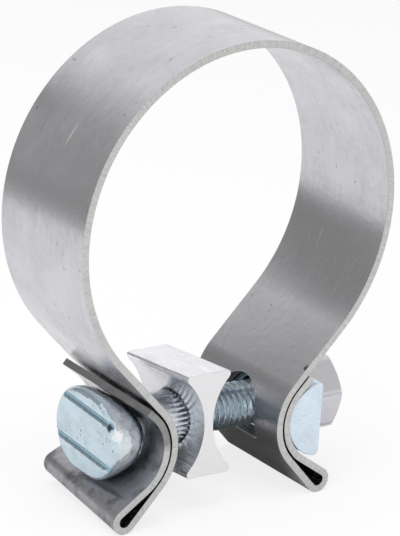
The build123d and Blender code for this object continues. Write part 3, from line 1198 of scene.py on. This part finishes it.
def strip_material(finish):
    """Rolled stainless: cloudy, faintly lined along the strip, with a few scratches and dark specks,
    painted shade round the folds and from the ledge on, and a painted glint on one scratch.
    """
    metal = Metal("rolled stainless", finish.strip, 0.2, finish.wear)
    shader = metal.shader
    metal.patches(110.0, 0.1, 0.06, 0.4)
    metal.lines(900.0, 0.12, 0.06, 0.04, 0.15)
    metal.scratches(55.0, 0.12, 0.1, -0.3)
    metal.specks(650.0, 0.05, 0.3, 0.1, -0.3)
    along, _, depth = shader.split(metal.place)
    along = shader.absolute(along)
    # Painted shade on the inner face round the lower folds, patchy, with rougher metal there
    fold_shade = shader.times(shader.ramp(along, *FOLD_START), shader.ramp(along, *FOLD_END, 1, 0))
    fold_shade = shader.times(fold_shade, shader.ramp(depth, *INNER_FACE, 1, 0))
    patchy = shader.group(cloudy_patches(), Place=metal.place, Scale=140.0)
    metal.shade(shader.times(fold_shade, shader.ramp(patchy, 0, 1, 0.75, 1.0)), finish.painted_fold_shade, 0.14)
    # From the ledge on, darker in noisy patches: partly smudges, partly painted shade
    ledge_smudge_and_shade = shader.ramp(shader.noise(metal.place, 230.0, 4, 0.6), 0.52, 0.66)
    metal.shade(shader.times(shader.ramp(along, *LEDGE_START), ledge_smudge_and_shade), 0.5, 0.05)
    # A real scratch, with a painted glint along it
    metal.mark((-0.0401, -0.0011, 0.0016), (0.003, 0.00022, 0.0005), 0.13, 1.0, 0.1, 0.0, GLINT)
    metal.mark((-0.1484, -0.007, 0), (0.0007, 0.0065, 0.0005), 0.1, 0.5, 0.1)
    metal.mark((0.1013, band_low.y + 0.0005, 0), (0.0009, 0.0008, 0.001), 0.4, 0.8, 0.1, -1.0)
    return metal.finish(0.00003)


def sheared_material(finish):
    """Cut edges: grainy, with short lines through the thickness, and darker on the left flap."""
    metal = Metal("sheared edge", finish.sheared, 0.34)
    shader = metal.shader
    metal.lines(450.0, 6.0, 0.24, 0.15, 1.0)
    metal.specks(3200.0, 0.35, 0.3, 0.1, -1.0)
    along = shader.split(metal.place)[0]
    # The cut edge grows darker towards the left flap's end
    metal.shade(shader.ramp(shader.times(along, -1.0), *FLAP_EDGE_START), finish.flap_edge_darkening)
    return metal.finish(0.00005)


# Places along the bolt between which the grooves' blue, the side's grey and the thread's painted shade fade
GROOVE_END = (bolt_low.x + 0.0006, bolt_low.x + 0.0012)
SIDE_START = (bolt_low.x + 0.0008, bolt_low.x + 0.0016)
SIDE_END = (0.0, 0.002)
THREAD_START = (0.002, 0.004)


def bolt_material(finish, sizes):
    """Bright zinc with a pale blue cast, blue grooves, fine pits, a rough skin, a ding on the rim with a
    painted highlight beside it, and painted shade on the thread.
    """
    metal = Metal("bolt zinc", finish.bolt_zinc, 0.13, finish.wear, "YZX")
    shader = metal.shader
    metal.patches(90.0, 0.0, 0.05, 3.0)
    metal.patches(260.0, 0.16, 0.1, 0.8)
    metal.shade(shader.ramp(shader.noise(metal.place, 150.0, 4), 0.5, 0.6), 0.3, towards=finish.washer_zinc)
    metal.scratches(90.0, 0.25, 0.15, -0.5)
    metal.specks(900.0, 0.16, 0.5, 0.1, -0.8)
    across, up, out = shader.split(metal.place)
    slope = shader.times(across, -tan(sizes.groove_tilt))
    level = shader.absolute(shader.plus(shader.minus(up, bolt_z + sizes.groove_rise), slope))
    off = shader.absolute(shader.minus(level, sizes.groove_spacing / 2))
    groove = shader.ramp(off, sizes.groove_half * 0.3, sizes.groove_half * 0.9, 1, 0)
    metal.shade(shader.times(groove, shader.ramp(out, *GROOVE_END, 1, 0)), 0.7, 0.05, towards=GROOVE_BLUE)
    side = shader.times(shader.ramp(out, *SIDE_START), shader.ramp(out, *SIDE_END, 1, 0))
    metal.shade(side, 0.65, towards=SIDE_GREY)
    # Painted shade on the thread between the ears
    metal.shade(shader.ramp(out, *THREAD_START), 0.2)
    metal.mark((-0.0093, -0.0428, -0.0264), (0.0009, 0.0009, 0.0012), 0.5, 0.9, 0.2, -4.0)
    # A painted highlight beside the ding
    metal.mark((-0.0108, -0.0443, -0.0254), (0.0013, 0.0021, 0.0015), -0.4, 0.7, 0.0, 2.0, GLINT)
    return metal.finish(0.00004)


def washer_material(finish):
    """Bright zinc with fine scratches."""
    metal = Metal("washer zinc", finish.washer_zinc, 0.22, finish.wear, "XZY")
    metal.patches(200.0, 0.1, 0.08, 0.4)
    metal.scratches(110.0, 0.3, 0.15, -0.5)
    return metal.finish(0.00003)


def extruded_material(finish):
    """Aluminium as it leaves the die: faint lines along the extrusion."""
    metal = Metal("extruded aluminium", finish.aluminium, 0.17, axes="YZX")
    metal.lines(1600.0, 0.03, 0.1, 0.08, 1.0)
    metal.patches(180.0, 0.08, 0.06, 0.3)
    metal.specks(420.0, 0.06, 0.3, 0.1, -0.6)
    return metal.finish(0.00003)


def sawn_material(finish):
    """The extrusion's sawn ends: matt, with fine saw lines."""
    metal = Metal("sawn aluminium", finish.sawn, 0.42, axes="XZY")
    metal.lines(1900.0, 0.3, 0.03, 0.08, 0.6)
    metal.specks(1300.0, 0.2, 0.1, 0.05, -0.5)
    return metal.finish(0.00002)


def nut_material(finish):
    """Smooth satin plating."""
    metal = Metal("nut plating", finish.nut_zinc, 0.3, finish.wear, "YZX")
    metal.patches(190.0, 0.06, 0.06, 0.3)
    metal.scratches(80.0, 0.12, 0.08, -0.3)
    return metal.finish(0.00002)


# The studio

FLOOR_SIZE = 6.0
FLOOR_SHOWN = 0.8
FLOOR_REFLECTED = 0.15
CAMERA_REACH = (0.01, 20)
# Name, lower left corner, way right, way up, fades of the left, right, lower and upper edge, tone, bounces
CARDS = (
    (
        "far_card", (-0.354, 0.188, -0.065), (0.284, 0.206, 0), (0, 0, 0.665),
        (0.02, 0.258, 0.0001, 0.2), 0.31, 1,
    ),
    (
        "near_card", (-0.098, 0.13, -0.03), (0.062, 0, 0), (0, 0, 0.125),
        (0.005, 0.01, 0.005, 0.012), 0.27, 4,
    ),
    (
        "shadow_card", (-0.01, -0.014, -0.0648), (0.062, 0, 0), (0, 0.052, 0),
        (0.012, 0.02, 0.008, 0.022), 0.1, 4,
    ),
    # A painted shadow on the floor under the bolt between the ears, which only reflections see
    (
        "gap_shadow_card", (-0.023, -0.02, -0.0648), (0.017, 0, 0), (0, 0.034, 0),
        (0.004, 0.005, 0.008, 0.008), 0.1, 4,
    ),
    ("side_card", (0.5, -0.1, 0.2), (-0.25, -0.35, 0), (0, 0, 0.6), (0.1, 0.1, 0.1, 0.1), 0.6, 4),
)
# Name, place, size in metres and power in watts
LAMPS = (
    ("top softbox", (-0.1, 0.0, 0.9), 0.9, 7.7),
    ("left softbox", (-0.8, -0.4, 0.35), 0.7, 3.3),
    ("front softbox", (0.25, -0.9, 0.4), 0.7, 3.3),
)


def white_rays(shader, seen=1.0, reflected=1.0):
    """How much of the white backdrop the camera sees, and how much metal reflects or glass lets through."""
    rays = shader.add("LightPath").outputs
    other = shader.maths("MAXIMUM", rays["Is Glossy Ray"], rays["Is Transmission Ray"])
    direct = shader.times(rays["Is Camera Ray"], seen)
    return shader.maths("MAXIMUM", direct, shader.times(other, reflected))


def stage_sheet(name, corners, mix):
    """A flat sheet of the stage. mix gives the share and the two surfaces of its material."""
    material = bpy.data.materials.new(name)
    shader = nodes_of(material)
    part, first, second = mix(shader)
    mixed = shader.add("MixShader", {0: part, 1: first.outputs[0], 2: second.outputs[0]})
    shader.add("OutputMaterial", {"Surface": mixed.outputs[0]})
    mesh = bpy.data.meshes.new(name)
    mesh.from_pydata(corners, [], [(0, 1, 2, 3)])
    mesh.materials.append(material)
    sheet = add_object(name, mesh)
    return sheet


def build_floor(height):
    """A plain pale floor, which shows the object's shadow faintly."""

    def mix(shader):
        matt = shader.add("BsdfDiffuse", {"Color": (0.9, 0.9, 0.9, 1)})
        white = shader.add("Emission", {"Color": (1, 1, 1, 1), "Strength": 1.0})
        return white_rays(shader, FLOOR_SHOWN, FLOOR_REFLECTED), matt, white

    half = FLOOR_SIZE / 2
    corners = [(-half, -half, height), (half, -half, height), (half, half, height), (-half, half, height)]
    stage_sheet("floor", corners, mix)


def build_card(name, corner, right, up, fades, tone, bounces):
    """A soft-edged grey card, which only reflections of up to a number of bounces see."""
    corner, right, up = Vector(corner), Vector(right), Vector(up)

    def mix(shader):
        place = shader.add("TexCoord").outputs["Object"]
        shown = shader.maths("LESS_THAN", shader.add("LightPath").outputs["Ray Depth"], bounces + 0.5)
        for way, (near_fade, far_fade) in ((right, fades[:2]), (up, fades[2:])):
            along = way.normalized()
            ahead = shader.minus(shader.vector("DOT_PRODUCT", place, along, "Value"), corner.dot(along))
            shown = shader.times(shader.ramp(ahead, 0, near_fade), shown)
            shown = shader.times(shader.ramp(ahead, way.length - far_fade, way.length, 1, 0), shown)
        grey = shader.add("Emission", {"Color": (1, 1, 0.96, 1), "Strength": tone})
        return shown, shader.add("BsdfTransparent"), grey

    card = stage_sheet(name, [corner, corner + right, corner + right + up, corner + up], mix)
    card.visible_camera = card.visible_diffuse = card.visible_shadow = False


def build_world(fill):
    """White where it is seen or reflected, and a softer fill where it lights."""
    world = bpy.data.worlds.new("studio")
    bpy.context.scene.world = world
    shader = nodes_of(world)
    strength = shader.ramp(white_rays(shader), 0.0, 1.0, fill, 1.0)
    sky = shader.add("Background", {"Color": (1, 1, 1, 1), "Strength": strength})
    shader.add("OutputWorld", {"Surface": sky.outputs[0]})


def add_aimed(name, data, place, aim, roll=0.0):
    """A lamp or camera at a place, looking along a direction."""
    holder = add_object(name, data)
    holder.location = place
    holder.rotation_mode = "QUATERNION"
    holder.rotation_quaternion = aim.to_track_quat("-Z", "Y") @ Quaternion((0, 0, 1), roll)
    return holder


def build_lamps():
    """Large soft lamps, all aimed at the clamp."""
    for name, place, size, power in LAMPS:
        lamp = bpy.data.lights.new(name, "AREA")
        lamp.energy = power
        lamp.size = size
        add_aimed(name, lamp, place, -Vector(place)).visible_glossy = False


def build_camera(studio):
    """The camera, from where the photograph was taken."""
    camera = bpy.data.cameras.new("camera")
    camera.sensor_fit = "HORIZONTAL"
    camera.lens = studio.lens
    camera.clip_start, camera.clip_end = CAMERA_REACH
    aim = Vector(studio.camera_view)
    scene = bpy.context.scene
    scene.camera = add_aimed("camera", camera, studio.camera_place, aim, studio.camera_roll)
    scene.view_settings.view_transform = "Standard"


# Operators and the sidebar

class BuildBand(bpy.types.Operator):
    """Build the rolled, folded and slotted strip"""

    bl_idname = "clamp.build_band"
    bl_label = "Build band"

    def execute(self, context):
        scene = context.scene
        finish = scene.clamp_finish
        build_band(scene.clamp_band, [strip_material(finish), sheared_material(finish)])
        return {"FINISHED"}


class BuildBolt(bpy.types.Operator):
    """Build the bolt with its half-round head, knurl and thread"""

    bl_idname = "clamp.build_bolt"
    bl_label = "Build bolt"

    def execute(self, context):
        scene = context.scene
        build_bolt(scene.clamp_bolt, [bolt_material(scene.clamp_finish, scene.clamp_bolt)])
        return {"FINISHED"}


class BuildBars(bpy.types.Operator):
    """Build the two drilled bars on the bolt, the spacer block and the saddle washer"""

    bl_idname = "clamp.build_bars"
    bl_label = "Build block and washer"

    def execute(self, context):
        scene = context.scene
        finish = scene.clamp_finish
        build_block(scene.clamp_block, [extruded_material(finish), sawn_material(finish)])
        zinc = washer_material(finish)
        build_washer(scene.clamp_washer, [zinc, zinc])
        return {"FINISHED"}


class BuildNut(bpy.types.Operator):
    """Build the locking nut"""

    bl_idname = "clamp.build_nut"
    bl_label = "Build nut"

    def execute(self, context):
        scene = context.scene
        build_nut(scene.clamp_nut, [nut_material(scene.clamp_finish)])
        return {"FINISHED"}


class BuildStudio(bpy.types.Operator):
    """Build the floor, the grey cards, the lamps, the white surroundings and the camera"""

    bl_idname = "clamp.build_studio"
    bl_label = "Build studio"

    def execute(self, context):
        studio = context.scene.clamp_studio
        build_floor(cad_low.z)
        for card in CARDS:
            build_card(*card)
        build_world(studio.fill)
        build_lamps()
        build_camera(studio)
        return {"FINISHED"}


OPERATORS = (BuildBand, BuildBolt, BuildBars, BuildNut, BuildStudio)


class ClampPanel(bpy.types.Panel):
    """Sizes, finishes and steps of the band clamp"""

    bl_idname = "VIEW3D_PT_band_clamp"
    bl_label = "Band Clamp"
    bl_space_type = "VIEW_3D"
    bl_region_type = "UI"
    bl_category = "Band Clamp"

    def draw(self, context):
        for operator in OPERATORS:
            self.layout.operator(operator.bl_idname)
        for name, sizes in SIZES.items():
            box = self.layout.box()
            box.label(text=sizes.__doc__)
            for label in sizes.__annotations__:
                box.prop(getattr(context.scene, name), label)


CLASSES = (*SIZES.values(), *OPERATORS, ClampPanel)


def register():
    for kind in CLASSES:
        bpy.utils.register_class(kind)
    for name, sizes in SIZES.items():
        setattr(bpy.types.Scene, name, bpy.props.PointerProperty(type=sizes))


def unregister():
    for name in SIZES:
        delattr(bpy.types.Scene, name)
    for kind in reversed(CLASSES):
        bpy.utils.unregister_class(kind)


def main():
    """Builds the clamp and its studio."""
    register()
    bpy.ops.clamp.build_band()
    bpy.ops.clamp.build_bolt()
    bpy.ops.clamp.build_bars()
    bpy.ops.clamp.build_nut()
    bpy.ops.clamp.build_studio()


if __name__ == "__main__":
    main()
